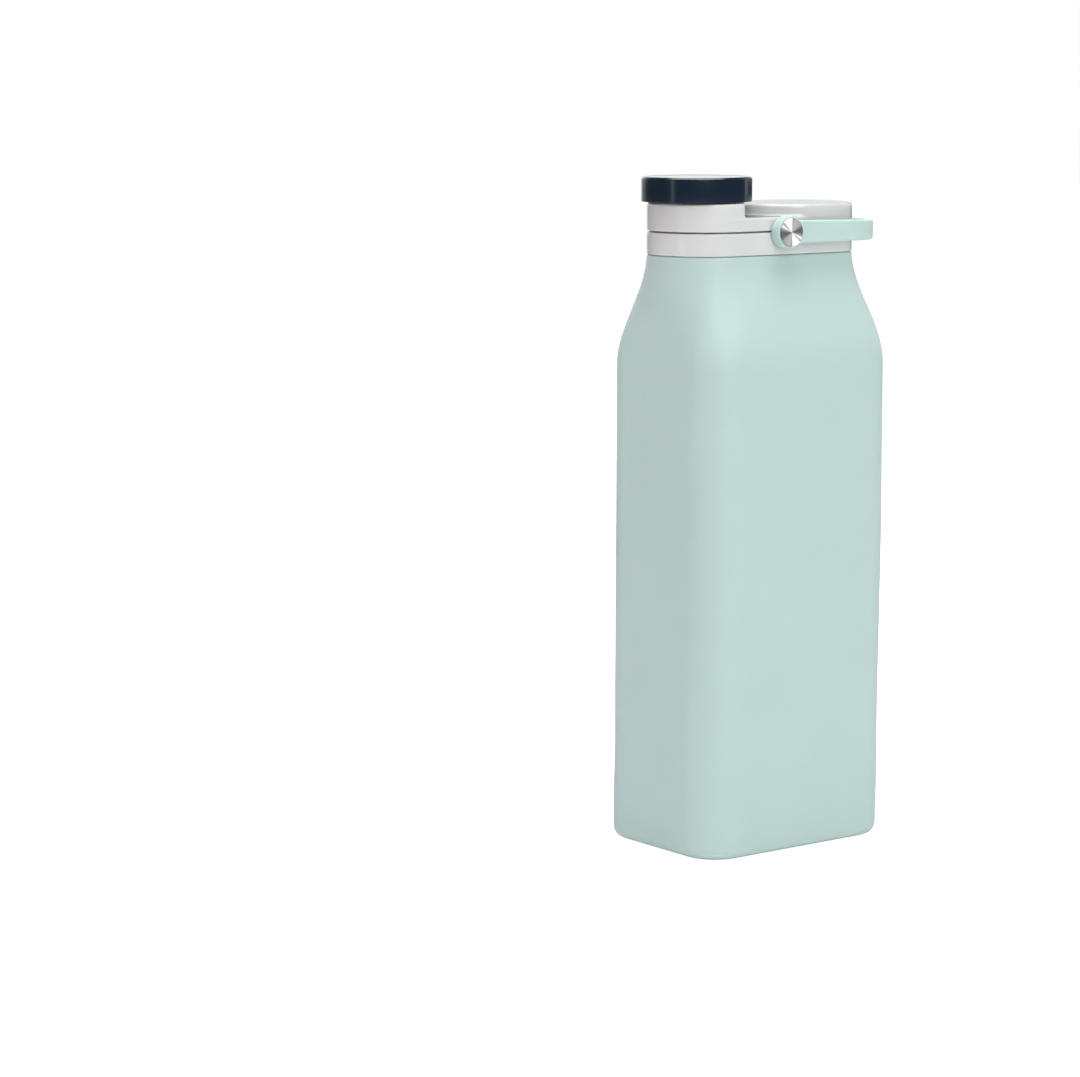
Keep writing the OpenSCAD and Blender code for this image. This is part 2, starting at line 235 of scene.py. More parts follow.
def surface_net(field, low, high, cell):
    """One point in each grid cell the surface crosses, and a quad across each crossed edge."""
    low, high = np.asarray(low, float), np.asarray(high, float)
    n = np.ceil((high - low) / cell).astype(int) + 1
    axes = [low[i] + cell * np.arange(n[i]) for i in range(3)]
    value = field(*np.meshgrid(*axes, indexing="ij"))
    inside = value < 0
    corners_in = np.zeros(n - 1, int)
    for dx, dy, dz in product((0, 1), repeat=3):
        corners_in += inside[dx:n[0] - 1 + dx, dy:n[1] - 1 + dy, dz:n[2] - 1 + dz]
    active = (corners_in > 0) & (corners_in < 8)
    cells = np.argwhere(active)
    ids = -np.ones(n - 1, int)
    ids[active] = np.arange(len(cells))

    # each point is the mean of the crossings on its cell's edges
    total, count = np.zeros((len(cells), 3)), np.zeros(len(cells))
    for axis in range(3):
        u, w = [i for i in range(3) if i != axis]
        for du, dw in product((0, 1), repeat=2):
            start = cells.copy()
            start[:, u] += du
            start[:, w] += dw
            end = start.copy()
            end[:, axis] += 1
            a, b = value[tuple(start.T)], value[tuple(end.T)]
            cross = (a < 0) != (b < 0)
            at = start + 0.0
            at[:, axis] += np.where(cross, a / np.where(cross, a - b, 1), 0)
            total[cross] += at[cross]
            count[cross] += 1
    points = low + cell * total / count[:, None]

    quads = []
    for axis in range(3):
        u, w = [i for i in range(3) if i != axis]
        edge = np.argwhere(np.diff(inside, axis=axis))
        edge = edge[(edge[:, u] > 0) & (edge[:, u] < n[u] - 1)
                    & (edge[:, w] > 0) & (edge[:, w] < n[w] - 1)]
        around = []
        for du, dw in ((-1, -1), (0, -1), (0, 0), (-1, 0)):
            at = edge.copy()
            at[:, u] += du
            at[:, w] += dw
            around.append(ids[tuple(at.T)])
        quad = np.stack(around, 1)
        start_in = inside[tuple(edge.T)]
        backward = start_in if axis == 1 else ~start_in
        quad[backward] = quad[backward][:, ::-1]
        quads.append(quad)
    return points, np.concatenate(quads)


def moulded(field, low, high, cell):
    """The surface field = 0 as an even quad mesh, with a normal for each point."""
    points, quads = surface_net(field, low, high, cell)
    points = settle(field, points, cell, 3)
    edges = np.concatenate([quads[:, [i, (i + 1) % 4]] for i in range(4)])
    # points slide along the surface towards the middle of their neighbours
    for _ in range(6):
        total, count = np.zeros_like(points), np.zeros(len(points))
        for here, there in ((0, 1), (1, 0)):
            np.add.at(total, edges[:, here], points[edges[:, there]])
            np.add.at(count, edges[:, here], 1)
        move = total / count[:, None] - points
        normals = unit_gradient(field, points)
        move -= normals * (move * normals).sum(1, keepdims=True)
        points = settle(field, points + 0.6 * move, cell, 1)
    points = settle(field, points, cell, 2)
    normals = unit_gradient(field, points)
    # faces turned to agree with the gradient
    a = points[quads[:, 2]] - points[quads[:, 0]]
    b = points[quads[:, 3]] - points[quads[:, 1]]
    wrong = (np.cross(a, b) * normals[quads[:, 0]]).sum(1) < 0
    if wrong.mean() > 0.5:
        quads = quads[:, ::-1]
    return points, quads, normals


# ------------------------------------------------------------------ shader helpers
def feed(tree, target, inputs):
    """Links the values that are sockets and sets the others."""
    for key, value in inputs.items():
        if isinstance(value, bpy.types.NodeSocket):
            tree.links.new(value, target.inputs[key])
        else:
            target.inputs[key].default_value = value


def node(tree, kind, inputs=None, **props):
    made = tree.nodes.new(kind)
    for key, value in props.items():
        setattr(made, key, value)
    feed(tree, made, inputs or {})
    return made


def new_material(name):
    material = bpy.data.materials.new(name)
    material.use_nodes = True
    tree = material.node_tree
    return material, tree, tree.nodes["Principled BSDF"]


def srgb(*channels):
    """Linear colour from 0-255 channels."""
    def linear(c):
        return (c / 255 / 12.92) if c <= 10 else ((c / 255 + 0.055) / 1.055) ** 2.4
    return (*map(linear, channels), 1.0)


def calc(tree, operation, *values):
    return node(tree, "ShaderNodeMath", dict(enumerate(values)), operation=operation).outputs[0]


def millimetres(tree):
    """Object coordinates in millimetres."""
    place = node(tree, "ShaderNodeTexCoord").outputs["Object"]
    return node(tree, "ShaderNodeVectorMath", {0: place, 3: 1000.0},
                operation="SCALE").outputs[0]


def noise(tree, place, scale, detail=2.0, rough=0.5):
    return node(tree, "ShaderNodeTexNoise", {"Scale": scale, "Detail": detail,
                "Roughness": rough, "Vector": place}).outputs["Fac"]


def remap(tree, value, to, source=(0.3, 0.7)):
    return node(tree, "ShaderNodeMapRange", {
        "From Min": source[0], "From Max": source[1],
        "To Min": to[0], "To Max": to[1], "Value": value}).outputs[0]


def mix_color(tree, fac, a, b):
    # colour sockets of the Mix node: 6 and 7 in, 2 out
    return node(tree, "ShaderNodeMix", {6: a, 7: b, 0: fac}, data_type="RGBA").outputs[2]


def mix_shader(tree, fac, a, b):
    return node(tree, "ShaderNodeMixShader", {0: fac, 1: a, 2: b}).outputs[0]


def bump(tree, height, strength, depth_mm):
    return node(tree, "ShaderNodeBump", {"Strength": strength, "Distance": depth_mm * MM,
                "Height": height}).outputs[0]


# ------------------------------------------------------------------ materials
def silicone(name, light, dark, rough=0.5):
    material, tree, shader = new_material(name)
    place = millimetres(tree)
    broad = noise(tree, place, scale=0.035)
    fine = noise(tree, place, scale=6.0, detail=3.0, rough=0.6)
    feed(tree, shader, {
        "Base Color": mix_color(tree, remap(tree, broad, to=(0.0, 1.0)), light, dark),
        "Roughness": remap(tree, fine, to=(rough - 0.05, rough + 0.05)),
        "Normal": bump(tree, fine, strength=0.12, depth_mm=0.02),
        "IOR": 1.41,
        "Subsurface Weight": 0.25,
        "Subsurface Radius": (0.9, 1.3, 1.1),
        "Subsurface Scale": 0.0012,
        "Sheen Weight": 0.12,
        "Sheen Roughness": 0.5})
    return material


def plastic(name, light, dark, rough, coat, grain, top=1.0):
    """Moulded plastic; grain is the bump's depth in mm.

    A top below 1 is the share of colour and gloss left on level surfaces at a grazing angle:
    painted shade that darkens such tops and dims their reflections.
    """
    material, tree, shader = new_material(name)
    place = millimetres(tree)
    broad = noise(tree, place, scale=0.06)
    fine = noise(tree, place, scale=9.0, detail=3.0, rough=0.6)
    flow = noise(tree, place, scale=0.35, detail=1.0)
    base = mix_color(tree, remap(tree, broad, to=(0.0, 1.0)), light, dark)
    feed(tree, shader, {"IOR": 1.5, "Coat Weight": coat, "Coat Roughness": 0.06})
    # painted shade: level surfaces seen at a grazing angle lose colour and gloss, so their tops
    # read darker
    if top < 1.0:
        normal = node(tree, "ShaderNodeNewGeometry").outputs["Normal"]
        upward = node(tree, "ShaderNodeSeparateXYZ", {0: normal}).outputs["Z"]
        facing = node(tree, "ShaderNodeLayerWeight", {"Blend": 0.5}).outputs["Facing"]
        painted_top_shade = calc(tree, "MULTIPLY",
                    remap(tree, upward, to=(0.0, 1.0), source=(0.35, 0.97)),
                    remap(tree, facing, to=(0.12, 1 - top), source=(0.7, 0.95)))
        keep = calc(tree, "SUBTRACT", 1.0, painted_top_shade)
        base = node(tree, "ShaderNodeVectorMath", {0: base, 3: keep},
                    operation="SCALE").outputs[0]
        feed(tree, shader, {"Specular IOR Level": calc(tree, "MULTIPLY", keep, 0.5),
                            "Coat Weight": calc(tree, "MULTIPLY", keep, coat)})
    height = calc(tree, "MULTIPLY_ADD", fine, 0.25, flow)
    feed(tree, shader, {
        "Base Color": base,
        "Roughness": remap(tree, fine, to=(rough * 0.85, rough * 1.2)),
        "Normal": bump(tree, height, strength=0.25, depth_mm=grain)})
    return material


# (place, brightness) of a painted reflection: the bright and dark fan of a turned face, round
# half a turn: 0 is 3 o'clock and 0.5 is 12 o'clock, running anticlockwise as seen from the front
PAINTED_REFLECTION_FAN = (
    (0.0, 0.14), (0.07, 0.12), (0.14, 0.20), (0.20, 0.42), (0.40, 0.50),
    (0.475, 0.34), (0.51, 0.95), (0.62, 1.0), (0.74, 1.0), (0.77, 0.45),
    (0.80, 0.40), (0.83, 0.95), (0.87, 0.90), (0.90, 0.35), (1.0, 0.14),
)
RING_PITCH = 0.00016    # metres between the lathe rings


def turned_metal(name):
    """Disc turned on a lathe: fine rings, and a painted reflection of a bright and dark fan about
    the object's Y axis.
    """
    material, tree, shader = new_material(name)
    place = node(tree, "ShaderNodeTexCoord").outputs["Object"]
    split = node(tree, "ShaderNodeSeparateXYZ", {0: place})
    x, z = split.outputs["X"], split.outputs["Z"]
    # the painted reflection fan repeats twice in a turn; the added 2 keeps its place positive
    half_turns = calc(tree, "MULTIPLY_ADD", calc(tree, "ARCTAN2", z, x), 1 / math.pi, 2.0)
    fan = node(tree, "ShaderNodeValToRGB", {0: calc(tree, "FRACT", half_turns)})
    fan.color_ramp.interpolation = "EASE"
    stops = fan.color_ramp.elements
    stops.remove(stops[1])
    for position, level in PAINTED_REFLECTION_FAN:
        stop = stops[0] if position == 0 else stops.new(position)
        stop.color = (level, level, min(1, level * 1.03), 1)
    flat = node(tree, "ShaderNodeCombineXYZ", {"X": x, "Z": z}).outputs[0]
    radius = node(tree, "ShaderNodeVectorMath", {0: flat}, operation="LENGTH").outputs["Value"]
    wave = calc(tree, "SINE", calc(tree, "MULTIPLY", radius, 2 * math.pi / RING_PITCH))
    tangent = node(tree, "ShaderNodeTangent", direction_type="RADIAL", axis="Y")
    # the base colour carries the painted reflection fan, the same from every view
    feed(tree, shader, {
        "Normal": bump(tree, wave, strength=0.25, depth_mm=0.004),
        "Base Color": fan.outputs[0],
        "Metallic": 0.6,
        "Roughness": 0.34,
        "Anisotropic": 0.0,
        "Tangent": tangent.outputs[0]})
    return material


def metal(name, color, rough):
    material, tree, shader = new_material(name)
    fine = noise(tree, millimetres(tree), scale=5.0, detail=3.0, rough=0.6)
    dark = (*(c * 0.8 for c in color), 1)
    feed(tree, shader, {
        "Roughness": remap(tree, fine, to=(rough * 0.8, rough * 1.25)),
        "Base Color": mix_color(tree, remap(tree, fine, to=(0.0, 0.25)), (*color, 1), dark),
        "Normal": bump(tree, fine, strength=0.15, depth_mm=0.01),
        "Metallic": 1.0})
    return material


MINT = silicone("mint_silicone", light=srgb(183, 206, 203), dark=srgb(180, 203, 200))
MINT_STRAP = silicone("mint_silicone_strap", light=srgb(187, 212, 208),
                      dark=srgb(183, 208, 204), rough=0.45)
# top=0.12 paints shade on the white plastic's level tops seen at a grazing angle
WHITE = plastic("white_gloss_plastic", light=srgb(213, 215, 214), dark=srgb(210, 212, 211),
                rough=0.16, coat=0.3, grain=0.006, top=0.12)
INNER = plastic("natural_plastic", light=srgb(228, 226, 220), dark=srgb(222, 220, 213),
                rough=0.35, coat=0.0, grain=0.01)
NAVY = plastic("navy_gloss_plastic", light=srgb(12, 31, 47), dark=srgb(10, 28, 43),
               rough=0.2, coat=0.25, grain=0.006)
SEAL = silicone("seal_silicone", light=srgb(232, 232, 228), dark=srgb(226, 226, 222),
                rough=0.42)
# its bright and dark fan is a painted reflection in the base colour
DISC = turned_metal("turned_aluminium")
STEEL = metal("stud_steel", color=(0.62, 0.62, 0.61), rough=0.25)
BRASS = metal("insert_brass", color=(0.75, 0.56, 0.27), rough=0.3)


# ------------------------------------------------------------------ silicone body
FOOT_R, LIP_R = 3.0, 0.9
FLOOR_START, FLOOR_R = 8.5, 4.3    # height and radius of the curve into the chamber's floor
GROOVE_Z, GROOVE_TOP = 194.3, 196.3
# (z, inset) from the middle of the underside out to the foot
UNDERSIDE = ((1.1, 14.0), (1.1, 10.2), (1.02, 9.8), (0.8, 9.5),
             (0.3, 9.2), (0.08, 8.95), (0, 8.6), (0, 6.0))
# (z, inset) from the shoulder's lip up over the neck and down inside it
NECK = (
    (COLLAR_Z, 1.6), (COLLAR_Z, 1.95), (COLLAR_Z + 0.1, 2.0), (GROOVE_Z - 0.1, 2.0),
    (GROOVE_Z, 1.9), (GROOVE_Z, 1.4), (GROOVE_Z + 0.2, 1.2), (GROOVE_TOP - 0.2, 1.2),
    (GROOVE_TOP, 1.4), (GROOVE_TOP, 3.3), (GROOVE_TOP - 0.2, 3.55), (GROOVE_TOP - 0.5, 3.6),
    (COLLAR_Z, 3.6), (COLLAR_Z - 2.6, 3.6),
)


def collar_radius(angle, inset):
    """Distance from the axis to the collar's outline, moved inwards by inset."""
    c, s = np.abs(np.cos(angle)), np.abs(np.sin(angle))
    radius = END_R - inset
    under_root = radius * radius - END_X * END_X * s * s
    arc = END_X * c + np.sqrt(np.maximum(under_root, 0))
    arc = np.where((under_root >= 0) & (arc * c >= END_X * 0.98), arc, 1e3)
    flat = np.where(s > 1e-6, (HALF_DEPTH - inset) / np.maximum(s, 1e-6), 1e3)
    blend = 3.4
    h = np.maximum(blend - np.abs(arc - flat), 0) / blend
    return np.minimum(arc, flat) - h * h * blend * 0.25


def box_radius(angle, inset):
    """Distance from the axis to the body's rounded rectangle, moved inwards by inset."""
    c, s = np.abs(np.cos(angle)), np.abs(np.sin(angle))
    half_x, half_y = WIDTH / 2 - inset, DEPTH / 2 - inset
    radius = max(CORNER_R - inset, 1.5)
    mx, my = half_x - radius, half_y - radius
    along = mx * c + my * s
    corner = along + np.sqrt(np.maximum(along * along - mx * mx - my * my + radius * radius, 0))
    side = half_x / np.maximum(c, 1e-9)
    front = half_y / np.maximum(s, 1e-9)
    return np.where(half_x * s <= my * c, side, np.where(half_y * c <= mx * s, front, corner))


def body_angles():
    """Angles round the body, closer together at its corners."""
    corner_start = math.atan2(DEPTH / 2 - CORNER_R, WIDTH / 2)
    corner_end = math.atan2(DEPTH / 2, WIDTH / 2 - CORNER_R)
    quarter = np.concatenate([
        np.linspace(0, corner_start, 11, endpoint=False),
        np.linspace(corner_start, corner_end, 18, endpoint=False),
        np.linspace(corner_end, math.pi / 2, 22, endpoint=False)])
    mirrored = np.concatenate([[math.pi / 2], quarter[1:][::-1]])
    return np.concatenate([quarter, math.pi - mirrored, math.pi + quarter,
                           2 * math.pi - mirrored])


def box_share(z):
    """0 at the collar's outline, 1 from the shoulder down."""
    t = min(1, max(0, (COLLAR_Z - z) / (COLLAR_Z - SHOULDER_Z))) ** 0.89
    return t * t * (3 - 2 * t)


def smooth_step(value, start, end):
    t = np.clip((value - start) / (end - start), 0, 1)
    return t * t * (3 - 2 * t)


def soften(verts):
    """Soft walls are never quite even: the body leans and bulges a little along X."""
    z = verts[:, 2]
    lean = (0.5 * smooth_step(z, 35, 110) * (1 - smooth_step(z, 165, 187))
            - 0.35 * (1 - smooth_step(z, 2, 32)))
    bulge = 0.33 * np.exp(-((z - 98) / 42) ** 2) + 0.3 * np.exp(-((z - 14) / 12) ** 2)
    verts[:, 0] += lean + bulge * verts[:, 0] / (WIDTH / 2)


def build_body():
    angles = body_angles()
    c, s = np.cos(angles), np.sin(angles)
    # moulding line: a faint raised line down the middle of each narrow side
    line = np.exp(-((s * (WIDTH / 2) / 0.35) ** 2))

    def ring(z, inset, ridge=0.0, share=None):
        share = box_share(z) if share is None else share
        radius = (1 - share) * collar_radius(angles, inset) + share * box_radius(angles, inset)
        radius = radius + ridge * line
        return np.stack([radius * c, radius * s, np.full_like(angles, z)], 1)

    rings = [ring(z, inset) for z, inset in UNDERSIDE]
    foot = np.radians(np.linspace(14, 90, 14))
    rings.append(ring(0.02, FOOT_R * (1 - math.sin(foot[0]))))
    for a in foot[1:]:
        rings.append(ring(FOOT_R * (1 - math.cos(a)), FOOT_R * (1 - math.sin(a))))
    # outer wall, then the lip under the collar
    for z in np.concatenate([np.linspace(FOOT_R, SHOULDER_Z, 48)[1:-1],
                             np.linspace(SHOULDER_Z, COLLAR_Z - LIP_R, 52)]):
        rings.append(ring(z, 0, ridge=0.05 if z > 8 else 0))
    for a in np.radians(np.linspace(20, 90, 6)):
        z = COLLAR_Z - LIP_R + LIP_R * math.sin(a)
        rings.append(ring(z, LIP_R * (1 - math.cos(a)), share=0))
    rings += [ring(z, inset) for z, inset in NECK]
    # chamber: wall, curve into the floor, floor
    for z in np.concatenate([np.linspace(COLLAR_Z - 5, SHOULDER_Z, 22),
                             np.linspace(SHOULDER_Z, FLOOR_START, 20)[1:]]):
        rings.append(ring(z, WALL))
    for a in np.radians(np.linspace(15, 90, 7)):
        rings.append(ring(FLOOR_START - FLOOR_R * math.sin(a),
                          WALL + FLOOR_R * (1 - math.cos(a))))
    rings.append(ring(FLOOR_START - FLOOR_R, 12.0))
    verts, faces = loft(rings)
    soften(verts)
    new_piece("bottle_skin", verts, faces, "bottle", MINT, "silicone", "bottle_body", sharp=50)


# ------------------------------------------------------------------ collar, lid, strap
def outline_field(x, y):
    """Collar outline: two round ends that run softly into the flat front and back."""
    ends = np.hypot(np.maximum(np.abs(x) - END_X, 0), y) - END_R
    return smooth_max(ends, np.abs(y) - HALF_DEPTH, 2.6)


def pivot_distance(x, z):
    return np.hypot(x - PIVOT_X, z - PIVOT_Z)


def collar_field(x, y, z):
    outline = outline_field(x, y)
    outer = smooth_max(smooth_max(outline, z - RING_TOP, 0.5), (COLLAR_Z + 0.08) - z, 0.6)
    bore = outline + 1.9
    recess = np.maximum(outline + 1.1, 194.2 - z)
    ring = smooth_max(outer, -np.minimum(bore, recess), 0.25)
    # a boss for the pivot at the front and at the back, drilled through
    from_pivot, off_axis = pivot_distance(x, z), np.abs(y)
    boss = smooth_max(from_pivot - 3.4, off_axis - HALF_DEPTH, 0.3)
    boss = smooth_max(boss, 14.7 - off_axis, 0.4)
    boss = smooth_max(boss, 196.35 - z, 0.3)
    ring = smooth_min(ring, boss, 0.25)
    return smooth_max(ring, -(from_pivot - 1.9), 0.2)


def pedestal_plan(x, y):
    """Plan of the spout's pedestal: round towards the dome, with two rounded corners,
    then the housing's own sides."""
    off_axis = np.abs(y)
    corner_x, corner_y, corner_r, round_r = -19.0, 15.8, 2.5, 15.3
    # direction square to the common tangent of the corner's arc and the pedestal's arc
    dx, dy = corner_x - SPOUT_X, corner_y
    a = math.atan2(dy, dx) - math.acos((round_r - corner_r) / math.hypot(dx, dy))
    from_x, from_y = x - corner_x, off_axis - corner_y
    plan = np.maximum(from_x * math.cos(a) + from_y * math.sin(a) - corner_r,
                      from_y - corner_r)
    turn = np.arctan2(from_y, from_x)
    at_corner = (turn > a) & (turn < math.pi / 2)
    plan = np.where(at_corner, np.hypot(from_x, from_y) - corner_r, plan)
    at_round = (x > SPOUT_X) & (np.arctan2(off_axis, x - SPOUT_X) < a)
    return np.where(at_round, np.hypot(x - SPOUT_X, off_axis) - round_r, plan)


def housing_field(x, y, z):
    outline = outline_field(x, y)
    from_dome = np.hypot(x - DOME_X, y)
    roof = 1.8
    dome = smooth_max(from_dome - 20.45, z - DOME_Z, 1.3)
    pedestal = smooth_max(pedestal_plan(x, y), z - PEDESTAL_Z, 0.5)
    top = smooth_min(smooth_min(z - DECK_Z, dome, 0.9), pedestal, 0.8)
    outer = smooth_max(smooth_max(top, outline, 1.0), LID_Z - z, 0.5)
    # hollow under the deck, and higher under the dome
    hollow = np.maximum(outline + 2.0, z - (DECK_Z - roof))
    room = np.maximum(np.maximum(from_dome - 18.4, outline + 2.3), z - (DOME_Z - roof))
    shell = smooth_max(outer, -np.minimum(hollow, room), 0.3)
    shell = smooth_max(shell, -(np.hypot(x - SPOUT_X, y) - 13.55), 0.5)
    notch = np.maximum(pivot_distance(x, z) - 3.6, 14.4 - np.abs(y))
    return smooth_max(shell, -notch, 0.3)


def strap_field(x, y, z):
    px, off_axis = x - PIVOT_X, np.abs(y)
    from_pivot = pivot_distance(x, z)
    # the band droops and narrows towards its far end
    droop = 0.45 * np.clip(px / 47.0, 0, 1) ** 2
    half_width = 3.7 + (3.1 - 3.7) * np.clip(px / 47.2, 0, 1)
    middle = STRAP_OUT - STRAP_T / 2
    across = np.where(x < STRAP_BEND_X, np.abs(off_axis - middle),
                      np.abs(np.hypot(x - STRAP_BEND_X, y) - middle)) - STRAP_T / 2
    band = rounded_both(across, np.abs(z - PIVOT_Z + droop) - half_width, 0.6)
    band = np.maximum(band, -px)
    eye = rounded_both(from_pivot - 5.15, np.abs(off_axis - 20.55) - 1.85, 0.5)
    strap = smooth_min(band, eye, 0.8)
    bore = from_pivot - 3.02
    seat = np.maximum(from_pivot - 4.22, off_axis - 18.82)
    return smooth_max(strap, -np.minimum(bore, seat), 0.15)


def build_collar():
    verts, faces, normals = moulded(
        collar_field, low=(-38, -19.4, 190.4), high=(38, 19.4, 202.6), cell=0.34)
    new_piece("collar_shell", verts, faces, "bottle", WHITE, "white_plastic", "collar_ring",
              normals=normals)


def build_lid():
    verts, faces, normals = moulded(
        housing_field, low=(-38.2, -19.4, 197.9), high=(38.2, 19.4, 208.9), cell=0.32)
    new_piece("lid_shell", verts, faces, "lid", WHITE, "white_plastic", "lid_housing",
              normals=normals)


def build_strap():
    verts, faces, normals = moulded(
        strap_field, low=(-8.0, -23.4, 192.6), high=(46.4, 23.4, 204.4), cell=0.3)
    new_piece("strap_band", verts, faces, "strap", MINT_STRAP, "silicone", "carry_strap",
              normals=normals)


# ------------------------------------------------------------------ screw cap
THREAD_LEAD, THREAD_SPAN, THREAD_START = 4, 150, 20    # mm a turn, degrees, degrees
THREAD_ROOT, THREAD_CREST = 15.05, 13.75               # radii
ROOT_HALF, CREST_HALF = 0.62, 0.32                     # half heights of the rib's section
CAP_ROOF = CAP_TOP - 1.4                               # underside of the cap's top
# (radius, z, rounding) from the top's centre, down the outside and back inside
CAP_PROFILE = (
    (0, CAP_TOP - 0.12), (CAP_R - 1.6, CAP_TOP - 0.12, 0.4), (CAP_R - 1.2, CAP_TOP, 0.2),
    (CAP_R - 0.55, CAP_TOP, 0.35), (CAP_R, CAP_TOP - 0.55, 0.35), (CAP_R, CAP_Z, 0.3),
    (CAP_R - 0.45, CAP_Z, 0.15), (14.75, CAP_Z, 0.4), (14.75, CAP_ROOF, 0.3),
    (10.1, CAP_ROOF, 0.1), (10.1, CAP_TOP - 3.5, 0.15), (9.1, CAP_TOP - 3.5, 0.15),
    (9.1, CAP_ROOF, 0.1), (0, CAP_ROOF),
)


def thread_rib(start, steps=60):
    """A rib inside the cap's skirt, from start degrees, that swells and fades at its ends."""
    start_z = CAP_Z + 0.9 + THREAD_LEAD * THREAD_START / 360
    rings = []
    for i in range(steps + 1):
        a = math.radians(start + THREAD_SPAN * i / steps)
        z = start_z + THREAD_LEAD * THREAD_SPAN * i / steps / 360
        k = min(1.0, min(i, steps - i) / (steps * 0.12) + 0.02)
        k = k * k * (3 - 2 * k)
        crest = THREAD_ROOT + (THREAD_CREST - THREAD_ROOT) * k
        flank = crest - (THREAD_CREST - THREAD_ROOT) * 0.15 * k
        half_section = ((THREAD_ROOT, ROOT_HALF), (flank, CREST_HALF * 1.15),
                        (crest, CREST_HALF * 0.6))
        section = [(r, -h) for r, h in half_section] + list(reversed(half_section))
        rings.append([(SPOUT_X + r * math.cos(a), r * math.sin(a), z + dz)
                      for r, dz in section])
    return loft(rings)


def build_cap():
    shell = revolve(round_profile(CAP_PROFILE, 6), 224, SPOUT_X)
    ribs = [thread_rib(side + THREAD_START) for side in (0, 180)]
    verts, faces = join_shells([shell] + ribs)
    new_piece("cap_shell", verts, faces, "cap", NAVY, "navy_plastic", "spout_cap", sharp=32)


# ------------------------------------------------------------------ turned buttons
def build_button(side, name, replaced):
    """A disc on the pivot, side -1 at the front and 1 at the rear."""
    dish_r = BUTTON_R - 0.42
    # (radius, depth inwards from the button's face): dished face, rim, stud hole
    dish = [dish_r * k / 29 for k in range(30)]
    profile = [(r, 0.22 - 0.16 * (r / dish_r)) for r in dish]
    profile += round_profile([
        (BUTTON_R - 0.40, 0.03, 0.06), (BUTTON_R - 0.30, 0.0, 0.05),
        (BUTTON_R - 0.12, 0.0, 0.08), (BUTTON_R, 0.12, 0.08),
        (BUTTON_R, 0.72, 0.12), (BUTTON_R - 0.35, 0.75, 0.1)], 4)
    profile += [(1.52, 0.75), (1.52, 0.3), (0, 0.3)]
    turned, faces = revolve(profile, 160)
    verts = np.stack([turned[:, 0] + PIVOT_X, side * (BUTTON_FACE_Y - turned[:, 2]),
                      turned[:, 1] + PIVOT_Z], 1)
    if side > 0:
        faces = [tuple(reversed(face)) for face in faces]
    new_piece(name, verts, faces, "bottle", DISC, "turned_metal", replaced, sharp=40,
              origin=(PIVOT_X, side * (BUTTON_FACE_Y - 0.4), PIVOT_Z))


# ------------------------------------------------------------------ finishing
# CAD nodes that keep their own shape
FINISH = {
    "neck_insert": INNER, "lid_core": INNER, "lid_gasket": SEAL, "cap_seal": SEAL,
    "strap_bush_front": INNER, "strap_bush_rear": INNER,
    "pivot_stud_front": STEEL, "pivot_stud_rear": STEEL, "stud_inserts": BRASS,
}


def face_outwards():
    """Merges doubled points and turns faces outwards, on all but the moulded pieces."""
    for obj in list(SCENE.objects):
        if obj.type != "MESH" or "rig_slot" not in obj:
            continue
        if obj.name in ("collar_shell", "lid_shell", "strap_band"):
            continue
        bm = bmesh.new()
        bm.from_mesh(obj.data)
        bmesh.ops.remove_doubles(bm, verts=bm.verts, dist=1e-7)
        bmesh.ops.recalc_face_normals(bm, faces=bm.faces)
        bm.to_mesh(obj.data)
        bm.free()
        obj.data.update()


def finish_cad_nodes():
    for name, material in FINISH.items():
        mesh = frame["nodes"][name].data
        mesh.materials.clear()
        mesh.materials.append(material)
        for polygon in mesh.polygons:
            polygon.material_index = 0


# ------------------------------------------------------------------ floor, world (metres)
def floor_paper():
    """Paper lit from below: white to the camera, a soft glow on the object, dim in gloss."""
    material, tree, shader = new_material("floor_paper")
    grain = noise(tree, millimetres(tree), scale=0.9, detail=3.0)
    feed(tree, shader, {
        "Base Color": mix_color(tree, remap(tree, grain, to=(0.0, 1.0)),
                                (0.90, 0.90, 0.90, 1), (0.88, 0.88, 0.88, 1)),
        "Roughness": 0.9,
        "Specular IOR Level": 0.1})
    path = node(tree, "ShaderNodeLightPath")
    level = node(tree, "ShaderNodeMapRange", {
        "To Min": 0.16, "To Max": 0.86, "Value": path.outputs["Is Camera Ray"]})
    glow = node(tree, "ShaderNodeEmission", {
        "Color": (1, 1, 1, 1), "Strength": level.outputs[0]})
    lit = node(tree, "ShaderNodeAddShader", {0: shader.outputs[0], 1: glow.outputs[0]})
    dim = node(tree, "ShaderNodeBsdfDiffuse", {"Color": (0.35, 0.35, 0.35, 1)})
    seen = mix_shader(tree, path.outputs["Is Glossy Ray"], lit.outputs[0], dim.outputs[0])
    feed(tree, tree.nodes["Material Output"], {0: seen})
    return material


def build_floor(segments=96):
    angles = np.linspace(0, 2 * math.pi, segments, endpoint=False)
    rings = [np.stack([r * np.cos(angles), r * np.sin(angles), np.zeros_like(angles)], 1)
             for r in np.concatenate([[0.02], np.geomspace(0.05, 14.0, 40)])]
    verts, faces = loft(rings, close_ends=False)
    centre = len(verts)
    faces += [(centre, j, (j + 1) % segments) for j in range(segments)]
    mesh = bpy.data.meshes.new("floor")
    mesh.from_pydata(verts.tolist() + [[0, 0, 0]], [], faces)
    mesh.update()
    floor = bpy.data.objects.new("floor", mesh)
    floor.location = (0, 0, -0.00005)
    SCENE.collection.objects.link(floor)
    mesh.materials.append(floor_paper())


